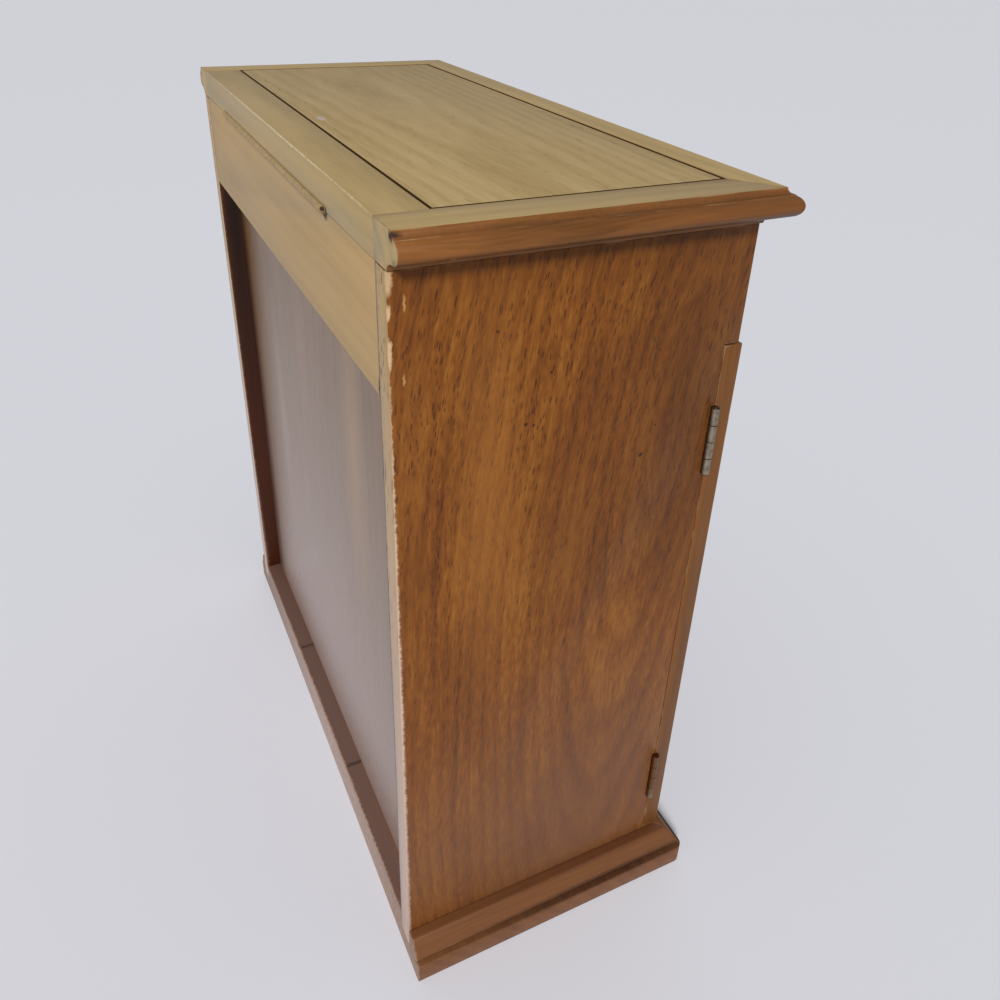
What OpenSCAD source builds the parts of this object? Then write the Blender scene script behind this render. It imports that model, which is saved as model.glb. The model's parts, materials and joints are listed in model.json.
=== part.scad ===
// Tabletop chest with a lift lid over a top compartment and two doors below.
// Millimetres. +Z is up, the doors face -Y, the back faces +Y.
// The origin is the centre of the footprint, on the surface the chest stands on.

/* [Case] */
// Outside width over the two side panels
case_w = 254; // [225:1:320]
// Depth of the side panels, rear edge to front edge
case_d = 115.5; // [100:0.5:160]
// Height of the whole chest with its lid closed
total_h = 304; // [270:1:400]
// Thickness of the side panels
side_t = 8.5; // [7:0.5:12]
// Height of the top section that stands over the doors
upper_h = 38.1; // [30:0.1:60]
// Thickness of the front fascia of the top section
fascia_t = 8; // [5:0.5:12]
// Thickness of the upper back rail, which is also the recess of the back panel
rail_t = 8; // [7:0.5:12]
// Thickness of the back panel
panel_t = 3; // [2:0.5:5]
// Thickness of the floor of the top compartment
tray_t = 4; // [3:0.5:6]
// Thickness of the upright between the two bays
divider_t = 5; // [4:0.5:8]

/* [Lid] */
// Thickness of the lid
lid_t = 11.3; // [9:0.1:16]
// Seam between the lid and the case
lid_gap = 0.3; // [0.2:0.1:0.8]
// Overhang of the flat of the lid past each side
lid_over_side = 4.7; // [3:0.1:10]
// Overhang of the flat of the lid past the case front
lid_over_front = 3.9; // [3:0.1:10]
// Border left and right of the veneer panel
border_side = 13.5; // [10:0.5:25]
// Border in front of the veneer panel
border_front = 11.3; // [9:0.1:25]
// Border behind the veneer panel
border_rear = 15; // [12:0.5:25]
// How far the moulded nose stands out past the flat of the lid
nose_out = 4.1; // [3.6:0.1:6]
// Radius of the hollow between the top arris and the nose
hollow_r = 1.9; // [1.2:0.1:2.4]
// Height of the cove under the nose
cove_h = 2.9; // [2:0.1:4]
// Width of the dark stringing line round the veneer panel
line_w = 1.2; // [0.8:0.1:2]
// How far the stringing lies below the surface
line_drop = 0.4; // [0.2:0.1:0.8]
// Thickness of the veneer panel
veneer_t = 3; // [2:0.5:4]

/* [Base] */
// Height of the lower board of the plinth
board_h = 9.8; // [8:0.1:16]
// Height of the moulding above the board
plinth_h = 9.2; // [7:0.1:14]
// How far the lower board stands out past each side
base_out_side = 10; // [9:0.5:16]
// How far the lower board stands out past the case front
base_out_front = 11; // [9:0.5:16]
// Width of the ledge on top of the moulding
ledge_w = 4.3; // [3:0.1:6]
// How far the foot of the moulding stands back from the board edge
foot_back = 1.7; // [1:0.1:3]
// Height and depth of the dark quirk over the board
groove = 1.3; // [0.8:0.1:2]
// Radius of the front corners of the board
board_r = 3.5; // [2:0.5:6]

/* [Doors] */
// Thickness of a door frame
door_t = 6.8; // [6:0.2:10]
// How far the side panels step back behind the doors
step_d = 5.5; // [4:0.5:8]
// Gap between a shut door and the stepped edge
door_gap = 0.4; // [0.3:0.1:0.8]
// Clearance over and under a door
door_clear = 0.8; // [0.5:0.1:2]
// Gap between the two doors
meet_gap = 1; // [0.6:0.1:2]
// Width of a door stile
stile_w = 22; // [18:1:30]
// Width of a door rail
door_rail_w = 26; // [20:1:40]
// Thickness of a door panel at its edge
tongue_t = 2.4; // [2:0.1:3]
// Depth of the groove that holds a door panel
tongue_d = 4; // [3:0.5:6]
// Width of the bevel round the field of a door panel
bevel_w = 9; // [6:0.5:14]
// Length of a door knob, from the door face
knob_l = 14; // [10:0.5:20]
// Radius of a door knob
knob_r = 6; // [4:0.5:8]

/* [Door hinges] */
// Length of a butt hinge
butt_l = 25.5; // [20:0.5:40]
// Radius of a butt hinge barrel
butt_r = 1.4; // [1.2:0.1:2]
// Number of knuckles on a butt hinge
butt_n = 4; // [3:1:6]
// Open joint between two of its knuckles
butt_joint = 0.3; // [0.2:0.1:0.6]
// Height from a door edge to its hinge
butt_in = 21.3; // [15:0.1:40]
// How far the barrel axis stands outside the side panel
butt_out = 0.8; // [0.6:0.1:1.5]
// Width of a butt hinge leaf
butt_leaf = 7.4; // [6:0.1:8]

/* [Lid hinge] */
// Length of the continuous hinge
long_l = 150; // [100:10:180]
// Radius of its barrel
long_r = 1.2; // [1.2:0.1:2]
// Length of one knuckle
long_pitch = 20; // [15:1:30]
// Open joint between two of its knuckles
long_joint = 0.5; // [0.2:0.1:0.8]
// How far the hinge sits off the middle, to the right
long_off = 4; // [0:0.5:8]
// Width of its leaves
long_leaf = 6.6; // [5:0.1:7]
// Distance from its end to its first screw
long_hole_in = 10; // [6:0.5:20]
// Distance between its screws
long_hole_pitch = 32.5; // [20:0.5:50]
// Extra length of the barrel groove at its left end
groove_more = 3; // [1:0.5:5]
// Thickness of every hinge leaf
leaf_t = 0.7; // [0.5:0.1:1]
// Radius of every hinge pin
pin_r = 0.6; // [0.5:0.05:0.7]

/* [Inside] */
// Number of drawers
drawer_n = 4; // [2:1:5]
// Thickness of the shelves between the drawers
shelf_t = 3; // [2:0.5:5]
// How far the drawer fronts stand behind the stepped edge
drawer_in = 9.5; // [8.5:0.5:14]
// Thickness of a drawer front
front_t = 6; // [4:0.5:8]
// Thickness of a drawer side
wall_t = 3.5; // [2.5:0.5:5]
// Thickness of a drawer bottom
bottom_t = 2.5; // [2:0.5:4]
// Running clearance round a drawer
drawer_clear = 0.6; // [0.4:0.1:1.2]
// Thickness of the felt linings
felt_t = 1; // [0.6:0.1:2]
// Length of a drawer knob
small_knob_l = 7.5; // [5:0.5:8]
// Radius of a drawer knob
small_knob_r = 4; // [3:0.5:5]
// Number of necklace hooks
hook_n = 5; // [3:1:6]
// Radius of the hook wire
hook_r = 0.9; // [0.7:0.1:1.5]
// Radius of the bend of a hook
hook_bend = 4; // [3:0.5:6]
// Height of the partitions in the top compartment
part_h = 20; // [10:1:24]
// Thickness of the partitions
part_t = 3; // [2:0.5:5]
// Thickness of the mirror glass
glass_t = 2.4; // [2:0.1:3]
// Width of the frame round the mirror
mirror_frame_w = 7; // [5:0.5:12]
// Thickness of the frame round the mirror
mirror_frame_t = 4; // [3.5:0.5:6]

/* [Hidden] */

// Facets of round work that the interpreter draws
$fn = 48;
// Overshoot of a cutter past the face that it cuts
over = 1;

// Levels
half_w = case_w / 2;
foot_z = board_h + plinth_h;
case_top = total_h - lid_t - lid_gap;
lid_z = case_top + lid_gap;
upper_z = case_top - upper_h;

// Planes across the depth; the box from barrel to knob is centred on the origin
reach_front = case_d - step_d + door_gap + door_t + knob_l;
back_y = (reach_front - long_r) / 2;
front_y = back_y - case_d;
step_y = front_y + step_d;
door_back_y = step_y - door_gap;
door_face_y = door_back_y - door_t;
panel_y = back_y - rail_t;
bay_back_y = panel_y - panel_t;

// Insides
inner_w = case_w - 2 * side_t;
bay_w = (inner_w - divider_t) / 2;
bay_x = divider_t / 2;

// Lid plan
lid_half = half_w + lid_over_side;
lid_front_y = front_y - lid_over_front;
panel_half = lid_half - border_side;
panel_front_y = lid_front_y + border_front;
panel_back_y = back_y - border_rear;

// Hinges
long_z = case_top + lid_gap / 2;
long_x0 = long_off - long_l / 2;
butt_x = half_w + butt_out;
butt_y = step_y - door_gap / 2;
barrel_clear = 0.3;
pin_clear = 0.05;
mortise_clear = 0.1;
screw_r = 1;
screw_head_r = 1.9;
screw_l = 4.5;
slot_w = 0.5;
slot_deep = 0.35;

// Doors
door_z0 = foot_z + door_clear;
door_z1 = upper_z - door_clear;
door_h = door_z1 - door_z0;
door_w = half_w - meet_gap / 2;
butt_z = [door_z0 + butt_in, door_z1 - butt_in - butt_l];

// Drawers
drawer_pitch = (upper_z - foot_z + shelf_t) / drawer_n;
drawer_h = drawer_pitch - shelf_t - 2 * drawer_clear;
drawer_w = bay_w - 2 * drawer_clear;
drawer_face_y = step_y + drawer_in;
drawer_back_y = bay_back_y - 2 * drawer_clear;
drawer_x = bay_x + bay_w / 2;

function arc(cx, cy, rx, ry, a0, a1, n = 8) =
  [for (i = [0 : n]) let (a = a0 + (a1 - a0) * i / n) [cx + rx * cos(a), cy + ry * sin(a)]];

// Section of the lid edge: a hollow under the top arris, a round nose and a cove below.
// x runs out from the flat of the lid, y up from its underside.
nose_step = 0.2;
nose_turn = 72;
cove_foot = 0.6;
nose_r = (lid_t - hollow_r - cove_h - nose_step) / (1 + sin(nose_turn));
nose_x = nose_out - nose_r;
function lid_section(inner, past) = concat(
  [[-inner, 0]],
  arc(nose_x, 0, nose_x + past - cove_foot, cove_h, 180, 90, 6),
  arc(nose_x, cove_h + nose_r, nose_r, nose_r, -78, nose_turn, 12),
  arc(hollow_r, lid_t, hollow_r, hollow_r, 270, 180, 6),
  [[-inner, lid_t]]
);

// Section of the plinth moulding: dark quirk, bellied fascia and a ledge.
belly = 0.35;
function plinth_section(out) = let (foot = out - foot_back) concat(
  [[0, 0], [foot - groove, 0], [foot - groove, groove]],
  [for (i = [0 : 8]) let (t = i / 8)
    [foot + (ledge_w - foot) * t + belly * sin(180 * t), groove + (plinth_h - groove - 0.3) * t]],
  [[ledge_w - 0.4, plinth_h], [0, plinth_h]]
);

module box(x0, x1, y0, y1, z0, z1) {
  translate([x0, y0, z0]) cube([x1 - x0, y1 - y0, z1 - z0]);
}

// Runs a section towards -Y from the plane y = 0, with its x to +X.
module run_side(length) {
  rotate([90, 0, 0]) linear_extrude(length) children();
}

// Runs a section across X about the middle, with its x to -Y.
module run_front(length) {
  translate([length / 2, 0, 0]) rotate([90, 0, -90]) linear_extrude(length) children();
}

module mirrored(side) {
  mirror([side < 0 ? 1 : 0, 0, 0]) children();
}

// One hinge leaf with the knuckles that belong to it.
// The axis is Z, the plate runs out along +X on the +Y side of the axis.
module hinge_leaf(length, pitch, joint, first, r, leaf_w, gap, holes) {
  count = ceil(length / pitch - 0.001);
  difference() {
    union() {
      translate([r + barrel_clear, gap / 2, 0]) cube([leaf_w - r - barrel_clear, leaf_t, length]);
      for (i = [first : 2 : count - 1]) {
        z0 = i * pitch + joint / 2;
        z1 = min((i + 1) * pitch, length) - joint / 2;
        translate([0, 0, z0]) cylinder(r = r, h = z1 - z0);
        translate([0, gap / 2, z0]) cube([r + barrel_clear + 0.2, leaf_t, z1 - z0]);
      }
    }
    translate([0, 0, -over]) cylinder(r = pin_r + pin_clear, h = length + 2 * over);
    for (z = holes)
      translate([(leaf_w + r) / 2 + 0.2, gap / 2, z]) rotate([-90, 0, 0]) screw_cut(0);
  }
}

// A countersunk screw that points along +Z, its slotted flat head at z = 0.
module screw() {
  difference() {
    rotate_extrude() polygon([
      [0, 0], [screw_head_r, 0], [screw_r, leaf_t], [screw_r, screw_l - 1], [0, screw_l]
    ]);
    translate([-screw_head_r - over, -slot_w / 2, -over])
      cube([2 * (screw_head_r + over), slot_w, slot_deep + over]);
  }
}

// The hole of such a screw.
module screw_cut(more) {
  translate([0, 0, -over]) cylinder(r = screw_r + pin_clear, h = screw_l + over + more);
  cylinder(r1 = screw_head_r + pin_clear, r2 = screw_r + pin_clear, h = leaf_t);
}

// Mortise for a leaf, in the leaf's own place.
module leaf_mortise(length, r, leaf_w, gap, holes) {
  translate([-over, gap / 2, -mortise_clear])
    cube([leaf_w + over + mortise_clear, leaf_t, length + 2 * mortise_clear]);
  for (z = holes)
    translate([(leaf_w + r) / 2 + 0.2, gap / 2, z]) rotate([-90, 0, 0]) screw_cut(0.3);
}

// Places on the door hinges: case side (+1) or door side (-1) of each axis.
butt_holes = [butt_l * 0.25, butt_l * 0.75];
module at_butts(face) {
  for (z = butt_z)
    translate([-butt_x, butt_y, z]) mirror([0, face < 0 ? 1 : 0, 0]) children();
}

// Places on the lid hinge: case side (+1) or lid side (-1) of the axis.
long_holes = [for (x = [long_hole_in : long_hole_pitch : long_l - 0.8 * long_hole_in]) x];
module at_long(face) {
  translate([long_x0, back_y, long_z]) rotate([-90, 0, 0]) rotate([0, 90, 0])
    mirror([0, face < 0 ? 1 : 0, 0]) children();
}

module long_groove() {
  translate([long_x0 - groove_more, back_y, long_z]) rotate([0, 90, 0])
    cylinder(r = long_r + barrel_clear, h = long_l + groove_more + 0.5);
}

module butt_grooves() {
  for (z = butt_z) translate([-butt_x, butt_y, z - 0.3])
    cylinder(r = butt_r + barrel_clear, h = butt_l + 0.6);
}

module base_board() {
  x1 = half_w + base_out_side;
  y0 = front_y - base_out_front;
  color("#6B4A35") linear_extrude(board_h) union() {
    translate([-x1, y0 + board_r]) square([2 * x1, back_y - y0 - board_r]);
    translate([-x1 + board_r, y0]) square([2 * (x1 - board_r), board_r + over]);
    for (s = [-1, 1]) translate([s * (x1 - board_r), y0 + board_r]) circle(r = board_r);
  }
}

// The mitre line of the plinth, in plan, at the right-hand front corner.
function base_mitre(p) = [half_w + p, front_y - p];

module plinth_front() {
  far = max(base_out_side, base_out_front) + over;
  color("#6B4A35") translate([0, 0, board_h]) intersection() {
    translate([0, front_y, 0]) run_front(case_w + 2 * far) polygon(plinth_section(base_out_front));
    linear_extrude(plinth_h) polygon([
      [-half_w, front_y], [half_w, front_y], base_mitre(far),
      [-half_w - far, front_y - far]
    ]);
  }
}

module plinth_side() {
  far = max(base_out_side, base_out_front) + over;
  color("#6B4A35") translate([0, 0, board_h]) intersection() {
    translate([half_w, back_y, 0]) run_side(case_d + far) polygon(plinth_section(base_out_side));
    linear_extrude(plinth_h) polygon([
      [half_w, front_y], base_mitre(far), [half_w + far, back_y], [half_w, back_y]
    ]);
  }
}

module plinth_right() { plinth_side(); }
module plinth_left() { mirrored(-1) plinth_side(); }

// A side panel: full depth at the foot and over the doors, stepped back between.
module side_panel() {
  color("#7C4C22") difference() {
    box(-half_w, -half_w + side_t, front_y, back_y, board_h, case_top);
    box(-half_w - over, -half_w + side_t + over, front_y - over, step_y, foot_z, upper_z);
    butt_grooves();
    at_butts(1) leaf_mortise(butt_l, butt_r, butt_leaf, door_gap, butt_holes);
  }
}

module side_panel_left() { side_panel(); }
module side_panel_right() { mirrored(-1) side_panel(); }

module case_floor() {
  color("#7A4E2C")
    box(-inner_w / 2, inner_w / 2, front_y, back_y, board_h, foot_z);
}

module back_panel() {
  color("#8B6D55")
    box(-inner_w / 2, inner_w / 2, bay_back_y, panel_y, foot_z, case_top);
}

module back_rail() {
  color("#A8946F") difference() {
    box(-inner_w / 2, inner_w / 2, panel_y, back_y, upper_z, case_top);
    long_groove();
    at_long(1) leaf_mortise(long_l, long_r, long_leaf, lid_gap, long_holes);
  }
}

module front_fascia() {
  color("#8A5A2E")
    box(-inner_w / 2, inner_w / 2, front_y, front_y + fascia_t, upper_z, case_top);
}

module tray_floor() {
  color("#9A7048")
    box(-inner_w / 2, inner_w / 2, front_y + fascia_t, bay_back_y, upper_z, upper_z + tray_t);
}

module bay_divider() {
  color("#8A5A2E") difference() {
    box(-divider_t / 2, divider_t / 2, step_y, bay_back_y, foot_z, upper_z);
    catch_block(catch_in + over);
  }
}

module drawer_shelves() {
  color("#8A5A2E") for (i = [1 : drawer_n - 1])
    translate([0, 0, foot_z + i * drawer_pitch - shelf_t])
      box(bay_x, bay_x + bay_w, drawer_face_y + over, bay_back_y, 0, shelf_t);
}

// The rail across the top of the left bay, and the hooks under it.
rail_bar = [14, 10];
rail_bar_y = (step_y + bay_back_y) / 2;
module hook_rail() {
  color("#8A5A2E") difference() {
    box(-bay_x - bay_w, -bay_x, rail_bar_y - rail_bar[0] / 2, rail_bar_y + rail_bar[0] / 2,
      upper_z - rail_bar[1], upper_z);
    for (x = hook_x) translate([x, rail_bar_y, upper_z - rail_bar[1] - over])
      cylinder(r = hook_r + pin_clear, h = hook_in + over);
  }
}

hook_in = 6;
hook_drop = 9;
hook_x = [for (i = [0 : hook_n - 1]) -bay_x - bay_w * (i + 0.5) / hook_n];
module necklace_hooks() {
  foot = upper_z - rail_bar[1];
  color("#B8923F") for (x = hook_x) translate([x, rail_bar_y, foot]) {
    translate([0, 0, -hook_drop]) cylinder(r = hook_r, h = hook_drop + hook_in);
    translate([0, 0, -1]) cylinder(r = 2 * hook_r, h = 1);
    translate([0, -hook_bend, -hook_drop]) rotate([0, -90, 0]) rotate([0, 0, -90])
      rotate_extrude(angle = 180) translate([hook_bend, 0]) circle(r = hook_r);
    translate([0, -2 * hook_bend, -hook_drop]) cylinder(r = hook_r, h = 2);
    translate([0, -2 * hook_bend, -hook_drop + 2]) sphere(r = 1.5 * hook_r);
  }
}

module bay_lining() {
  color("#6E1F2A")
    box(-bay_x - bay_w, -bay_x, bay_back_y - felt_t, bay_back_y, foot_z, upper_z);
}

module tray_lining() {
  z0 = upper_z + tray_t;
  color("#6E1F2A")
    box(-inner_w / 2, inner_w / 2, front_y + fascia_t, bay_back_y, z0, z0 + felt_t);
}

part_x = inner_w / 6;
module tray_partitions() {
  z0 = upper_z + tray_t + felt_t;
  color("#8A5A2E") for (s = [-1, 1])
    translate([s * part_x, 0, 0])
      box(-part_t / 2, part_t / 2, front_y + fascia_t, bay_back_y, z0, z0 + part_h);
}

// Two flat wire staples across the ledge behind the back panel.
staple_x = case_w / 6;
staple = [1.1, 0.6];
module back_staples() {
  y0 = panel_y + 0.6;
  y1 = back_y - 1;
  color("#2A2622") for (s = [-1, 1])
    translate([s * staple_x, 0, foot_z])
      box(-staple[0] / 2, staple[0] / 2, y0, y1, 0, staple[1]);
}

module drawer_front(i) {
  color("#8A5A2E") translate([drawer_x, 0, foot_z + (i - 1) * drawer_pitch + drawer_clear])
    difference() {
      box(-drawer_w / 2, drawer_w / 2, drawer_face_y, drawer_face_y + front_t, 0, drawer_h);
      translate([0, drawer_face_y, drawer_h / 2]) rotate([-90, 0, 0]) translate([0, 0, -over])
        cylinder(r = screw_r + pin_clear, h = front_t + 2 * over);
    }
}

module drawer_box(i) {
  y0 = drawer_face_y + front_t;
  color("#B08A5C") translate([drawer_x, 0, foot_z + (i - 1) * drawer_pitch + drawer_clear])
    difference() {
      box(-drawer_w / 2, drawer_w / 2, y0, drawer_back_y, 0, drawer_h - 3);
      box(-drawer_w / 2 + wall_t, drawer_w / 2 - wall_t, y0 - over, drawer_back_y - wall_t,
        bottom_t, drawer_h);
    }
}

module drawer_front_1() { drawer_front(1); }
module drawer_front_2() { drawer_front(2); }
module drawer_front_3() { drawer_front(3); }
module drawer_front_4() { drawer_front(4); }
module drawer_box_1() { drawer_box(1); }
module drawer_box_2() { drawer_box(2); }
module drawer_box_3() { drawer_box(3); }
module drawer_box_4() { drawer_box(4); }

module drawer_linings() {
  y0 = drawer_face_y + front_t;
  color("#6E1F2A") for (i = [0 : drawer_n - 1])
    translate([drawer_x, 0, foot_z + i * drawer_pitch + drawer_clear + bottom_t])
      box(-drawer_w / 2 + wall_t, drawer_w / 2 - wall_t, y0, drawer_back_y - wall_t, 0, felt_t);
}

// A turned knob that points along +Z from the face at z = 0, with its screw behind.
module knob(l, r, screw_depth) {
  neck = r * 0.42;
  ball = l * 0.62;
  rotate_extrude() polygon(concat(
    [[0, -screw_depth], [screw_r, -screw_depth], [screw_r, 0], [r * 0.72, 0], [r * 0.72, l * 0.08]],
    arc(r * 0.72, l * 0.08 + r * 0.3, r * 0.3, r * 0.3, 270, 180, 4),
    [[neck, l * 0.3]],
    arc(neck, ball, r - neck, ball - l * 0.34, -80, 0, 6),
    arc(0, ball, r, l - ball, 5, 88, 8),
    [[0, l]]
  ));
}

module drawer_knobs() {
  color("#B8923F") for (i = [0 : drawer_n - 1])
    translate([drawer_x, drawer_face_y, foot_z + i * drawer_pitch + drawer_clear + drawer_h / 2])
      rotate([90, 0, 0]) knob(small_knob_l, small_knob_r, front_t);
}

// A double magnetic catch under the top compartment, and its two pole bars.
catch_size = [36, 7.5, 9];
catch_in = 1.2;
magnet = [11, 3, 7];
module catch_body() {
  color("#D8CFC0") difference() {
    catch_block(0);
    for (s = [-1, 1]) magnet_at(s) translate([-magnet[0] / 2, -over, -magnet[2] / 2])
      cube([magnet[0], magnet[1] + over, magnet[2]]);
  }
}

module catch_block(more) {
  translate([-catch_size[0] / 2, step_y + catch_in - more, upper_z - catch_size[2]])
    cube(catch_size + [0, more, more]);
}

module magnet_at(s) {
  translate([s * catch_size[0] / 4, step_y + catch_in, upper_z - catch_size[2] / 2])
    children();
}

module catch_magnets() {
  color("#8E9094") for (s = [-1, 1])
    magnet_at(s) translate([-magnet[0] / 2, -0.6, -magnet[2] / 2])
      cube([magnet[0], magnet[1] + 0.6, magnet[2]]);
}

module hinge_leaf_case() {
  color("#A89878") at_long(1)
    hinge_leaf(long_l, long_pitch, long_joint, 0, long_r, long_leaf, lid_gap, long_holes);
}

module hinge_pin_lid() {
  color("#A89878") translate([long_x0, back_y, long_z]) rotate([0, 90, 0])
    cylinder(r = pin_r, h = long_l);
}

module each_side() {
  for (s = [-1, 1]) mirror([s > 0 ? 1 : 0, 0, 0]) children();
}

module butt_leaves_case() {
  color("#B8AA94") each_side() at_butts(1)
    hinge_leaf(butt_l, butt_l / butt_n, butt_joint, 0, butt_r, butt_leaf, door_gap, butt_holes);
}

module butt_pins() {
  color("#B8AA94") each_side() at_butts(1) cylinder(r = pin_r, h = butt_l);
}

module leaf_screws(r, leaf_w, gap, holes) {
  for (z = holes) translate([(leaf_w + r) / 2 + 0.2, gap / 2, z]) rotate([-90, 0, 0]) screw();
}

module case_screws() {
  color("#B8AA94") {
    each_side() at_butts(1) leaf_screws(butt_r, butt_leaf, door_gap, butt_holes);
    at_long(1) leaf_screws(long_r, long_leaf, lid_gap, long_holes);
  }
}

// The mitre of the lid border at the right-hand front corner, in plan.
lid_far = nose_out + over;
lid_mitre = [
  [panel_half, panel_front_y], [lid_half, lid_front_y],
  [lid_half + lid_far, lid_front_y - lid_far]
];

module lid_border_side() {
  color("#8A5A2E") translate([0, 0, lid_z]) intersection() {
    translate([lid_half, back_y, 0]) run_side(case_d + lid_over_front + lid_far)
      polygon(lid_section(border_side, lid_over_side));
    linear_extrude(lid_t) polygon(concat(
      lid_mitre, [[lid_half + lid_far, back_y], [panel_half, back_y]]
    ));
  }
}

module lid_border_right() { lid_border_side(); }
module lid_border_left() { mirrored(-1) lid_border_side(); }

module lid_border_front() {
  color("#8A5A2E") translate([0, 0, lid_z]) intersection() {
    translate([0, lid_front_y, 0]) run_front(2 * (lid_half + lid_far))
      polygon(lid_section(border_front, lid_over_front));
    linear_extrude(lid_t) polygon(concat(
      lid_mitre, [for (i = [2 : -1 : 0]) [-lid_mitre[i][0], lid_mitre[i][1]]]
    ));
  }
}

module lid_border_rear() {
  color("#8A5A2E") difference() {
    box(-panel_half, panel_half, panel_back_y, back_y, lid_z, lid_z + lid_t);
    long_groove();
    at_long(-1) leaf_mortise(long_l, long_r, long_leaf, lid_gap, long_holes);
  }
}

module lid_core() {
  color("#8A5A2E")
    box(-panel_half, panel_half, panel_front_y, panel_back_y, lid_z, lid_z + lid_t - veneer_t);
}

module lid_veneer() {
  color("#A8946F")
    box(-panel_half + line_w, panel_half - line_w, panel_front_y + line_w, panel_back_y - line_w,
      lid_z + lid_t - veneer_t, lid_z + lid_t);
}

module lid_stringing() {
  z1 = lid_z + lid_t - line_drop;
  color("#2A1A10") difference() {
    box(-panel_half, panel_half, panel_front_y, panel_back_y, lid_z + lid_t - veneer_t, z1);
    box(-panel_half + line_w, panel_half - line_w, panel_front_y + line_w,
      panel_back_y - line_w, lid_z, z1 + over);
  }
}

module hinge_leaf_lid() {
  color("#A89878") at_long(-1)
    hinge_leaf(long_l, long_pitch, long_joint, 1, long_r, long_leaf, lid_gap, long_holes);
}

module lid_screws() {
  color("#A89878") at_long(-1) leaf_screws(long_r, long_leaf, lid_gap, long_holes);
}

// The mirror lies under the lid, clear of the walls of the top compartment.
mirror_in = 10;
mirror_x = inner_w / 2 - mirror_in;
mirror_y0 = front_y + fascia_t + mirror_in;
mirror_y1 = bay_back_y - mirror_in;
module mirror_frame() {
  color("#8A5A2E") difference() {
    box(-mirror_x, mirror_x, mirror_y0, mirror_y1, lid_z - mirror_frame_t, lid_z);
    box(-mirror_x + mirror_frame_w, mirror_x - mirror_frame_w, mirror_y0 + mirror_frame_w,
      mirror_y1 - mirror_frame_w, lid_z - mirror_frame_t - over, lid_z - 1);
    mirror_rebate(pin_clear);
  }
}

module mirror_rebate(more) {
  held = mirror_frame_w - 3 - more;
  box(-mirror_x + held, mirror_x - held, mirror_y0 + held, mirror_y1 - held,
    lid_z - glass_t, lid_z + (more > 0 ? over : 0));
}

module mirror_glass() { color("#C8D4D8") mirror_rebate(0); }

// A door, drawn on the left with its hinge edge at -X.
door_x0 = -half_w;
door_x1 = door_x0 + door_w;
groove_y = door_back_y - door_t / 2;
module door_groove() {
  box(door_x0 + stile_w - tongue_d, door_x1 - stile_w + tongue_d,
    groove_y - tongue_t / 2, groove_y + tongue_t / 2,
    door_z0 + door_rail_w - tongue_d, door_z1 - door_rail_w + tongue_d);
}

knob_x = door_x1 - stile_w / 2;
knob_z = (door_z0 + door_z1) / 2;
module knob_place() {
  translate([knob_x, door_face_y, knob_z]) rotate([90, 0, 0]) children();
}

module door_stiles() {
  color("#8A5A2E") difference() {
    union() {
      box(door_x0, door_x0 + stile_w, door_face_y, door_back_y, door_z0, door_z1);
      box(door_x1 - stile_w, door_x1, door_face_y, door_back_y, door_z0, door_z1);
    }
    door_groove();
    butt_grooves();
    at_butts(-1) leaf_mortise(butt_l, butt_r, butt_leaf, door_gap, butt_holes);
    knob_place() translate([0, 0, -door_t - over])
      cylinder(r = screw_r + pin_clear, h = door_t + 2 * over);
    strike_place() translate([0, 0, -over]) cylinder(r = strike_r + pin_clear, h = strike_t + over);
  }
}

module door_rails() {
  color("#8A5A2E") difference() {
    union() for (z = [door_z0, door_z1 - door_rail_w])
      box(door_x0 + stile_w, door_x1 - stile_w, door_face_y, door_back_y, z, z + door_rail_w);
    door_groove();
  }
}

// A fielded panel: a flat tongue in the groove, a bevel and a raised field.
module door_panel() {
  x0 = door_x0 + stile_w;
  x1 = door_x1 - stile_w;
  z0 = door_z0 + door_rail_w;
  z1 = door_z1 - door_rail_w;
  rise = door_t / 2 - tongue_t / 2 - 0.4;
  slack = 0.4;
  color("#9A6835") {
    box(x0 - tongue_d + slack, x1 + tongue_d - slack, groove_y - tongue_t / 2,
      groove_y + tongue_t / 2, z0 - tongue_d + slack, z1 + tongue_d - slack);
    hull() {
      box(x0 + slack, x1 - slack, groove_y - 0.2, groove_y, z0 + slack, z1 - slack);
      box(x0 + bevel_w, x1 - bevel_w, groove_y - tongue_t / 2 - rise, groove_y,
        z0 + bevel_w, z1 - bevel_w);
    }
  }
}

module door_knob() {
  color("#B8923F") knob_place() knob(knob_l, knob_r, door_t - 1);
}

module door_leaves() {
  color("#B8AA94") at_butts(-1)
    hinge_leaf(butt_l, butt_l / butt_n, butt_joint, 1, butt_r, butt_leaf, door_gap, butt_holes);
}

// The steel strike of the catch and the screws of the door's own leaves.
strike_r = 3.4;
strike_t = 1;
module strike_place() {
  translate([-catch_size[0] / 4, door_back_y, upper_z - catch_size[2] / 2])
    rotate([90, 0, 0]) children();
}

module door_fittings() {
  color("#B8AA94") {
    at_butts(-1) leaf_screws(butt_r, butt_leaf, door_gap, butt_holes);
    strike_place() cylinder(r = strike_r, h = strike_t);
  }
}

module door_left_stiles() { door_stiles(); }
module door_left_rails() { door_rails(); }
module door_left_panel() { door_panel(); }
module door_left_knob() { door_knob(); }
module door_left_leaves() { door_leaves(); }
module door_left_fittings() { door_fittings(); }
module door_right_stiles() { mirrored(-1) door_stiles(); }
module door_right_rails() { mirrored(-1) door_rails(); }
module door_right_panel() { mirrored(-1) door_panel(); }
module door_right_knob() { mirrored(-1) door_knob(); }
module door_right_leaves() { mirrored(-1) door_leaves(); }
module door_right_fittings() { mirrored(-1) door_fittings(); }

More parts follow.
